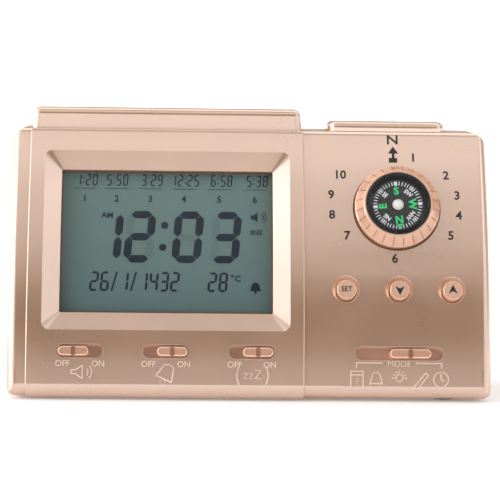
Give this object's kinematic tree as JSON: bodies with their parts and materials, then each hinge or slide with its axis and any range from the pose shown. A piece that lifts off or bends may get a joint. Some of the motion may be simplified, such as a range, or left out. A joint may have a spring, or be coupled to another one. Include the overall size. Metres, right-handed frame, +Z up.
{
  "type": "azan alarm clock",
  "caption": "Table clock with a leaning curved face, wide LCD, rotating city dial with a liquid compass, round keys, slide switches and a long snooze bar.",
  "frame": {"origin": "On the table, at the centre of the rectangle round the whole clock seen from above", "axes": "+X to the viewer's right along the face, +Y from the face to the back, +Z up"},
  "size_m": [0.15, 0.05, 0.0887],
  "materials": {
    "housing": "satin metallic champagne paint on a moulded housing",
    "cover": "champagne, lightly textured",
    "keys": "satin metallic copper paint",
    "slides": "satin metallic copper paint",
    "dial": "satin metallic copper ring with a black cup",
    "compass": "gloss black",
    "card": "black with white and green print",
    "lens": "clear",
    "lcd": "grey-green display glass",
    "pivot": "turned",
    "board": "green circuit board",
    "switch": "black moulded",
    "frame": "white moulded",
    "strip": "silicone",
    "steel": "nickel plated",
    "cells": "plain printed sleeve",
    "paper": "pressed paper",
    "foot": "matt",
    "led": "clear resin"
  },
  "bodies": {
    "case": {"alarm_slide_switch": "switch", "backlight_led": "led", "battery_1": "cells", "battery_2": "cells", "battery_3": "cells", "battery_plates": "steel", "battery_springs": "steel", "board_screws": "steel", "call_slide_switch": "switch", "case_screws": "steel", "clock_crystal": "steel", "controller_chip": "switch", "down_switch": "switch", "front_housing": "housing", "lcd_cell": "lcd", "lcd_connectors": "strip", "lcd_frame": "frame", "lcd_window": "lens", "light_guide": "frame", "light_switch": "switch", "main_board": "board", "mode_slide_switch": "switch", "rear_cover": "cover", "rotary_switch": "switch", "rubber_feet": "foot", "set_switch": "switch", "snooze_slide_switch": "switch", "snooze_switch_left": "switch", "snooze_switch_right": "switch", "speaker": "steel", "speaker_cone": "paper", "top_board": "board", "up_switch": "switch"},
    "snooze_bar": {"snooze_bar": "keys"},
    "light_key": {"light_key": "keys"},
    "set_key": {"set_key": "keys"},
    "down_key": {"down_key": "keys"},
    "up_key": {"up_key": "keys"},
    "call_slide": {"call_slide": "slides", "call_lever": "switch"},
    "alarm_slide": {"alarm_slide": "slides", "alarm_lever": "switch"},
    "snooze_slide": {"snooze_slide": "slides", "snooze_lever": "switch"},
    "mode_slide": {"mode_slide": "slides", "mode_lever": "switch"},
    "city_dial": {"city_dial": "dial", "rotary_shaft": "steel", "compass_case": "compass", "compass_lens": "lens", "compass_pivot": "pivot"},
    "compass_card": {"compass_card": "card"},
    "battery_door": {"battery_door": "cover"}
  },
  "joints": [
    {"name": "snooze_bar_press", "type": "slide", "parent": "case", "child": "snooze_bar", "axis": [0, 0, -1], "range_m": [0, 0.0012], "stiffness_N_per_m": 400, "springref_m": -0.0005},
    {"name": "light_key_press", "type": "slide", "parent": "case", "child": "light_key", "axis": [0, 0, -1], "range_m": [0, 0.001], "stiffness_N_per_m": 400, "springref_m": -0.0005},
    {"name": "set_key_press", "type": "slide", "parent": "case", "child": "set_key", "axis": [0, 0.9272, -0.3746], "range_m": [0, 0.0008], "stiffness_N_per_m": 300, "springref_m": -0.0005},
    {"name": "down_key_press", "type": "slide", "parent": "case", "child": "down_key", "axis": [0, 0.9272, -0.3746], "range_m": [0, 0.0008], "stiffness_N_per_m": 300, "springref_m": -0.0005},
    {"name": "up_key_press", "type": "slide", "parent": "case", "child": "up_key", "axis": [0, 0.9272, -0.3746], "range_m": [0, 0.0008], "stiffness_N_per_m": 300, "springref_m": -0.0005},
    {"name": "call_switch_slide", "type": "slide", "parent": "case", "child": "call_slide", "axis": [1, 0, 0], "range_m": [0, 0.004]},
    {"name": "alarm_switch_slide", "type": "slide", "parent": "case", "child": "alarm_slide", "axis": [1, 0, 0], "range_m": [-0.004, 0]},
    {"name": "snooze_switch_slide", "type": "slide", "parent": "case", "child": "snooze_slide", "axis": [1, 0, 0], "range_m": [-0.004, 0]},
    {"name": "mode_switch_slide", "type": "slide", "parent": "case", "child": "mode_slide", "axis": [1, 0, 0], "range_m": [-0.0105, 0.0035]},
    {"name": "city_dial_turn", "type": "hinge", "parent": "case", "child": "city_dial", "pos_m": [0.04595, -0.00852, 0.05897], "axis": [0, -0.9272, 0.3746], "continuous": true},
    {"name": "compass_card_swing", "type": "hinge", "parent": "city_dial", "child": "compass_card", "pos_m": [0.04595, -0.00852, 0.05897], "axis": [0, -0.9272, 0.3746], "continuous": true},
    {"name": "battery_door_hinge", "type": "hinge", "parent": "case", "child": "battery_door", "pos_m": [0.02, 0.0241, 0.01015], "axis": [-1, 0, 0], "range_deg": [0, 85]}
  ]
}
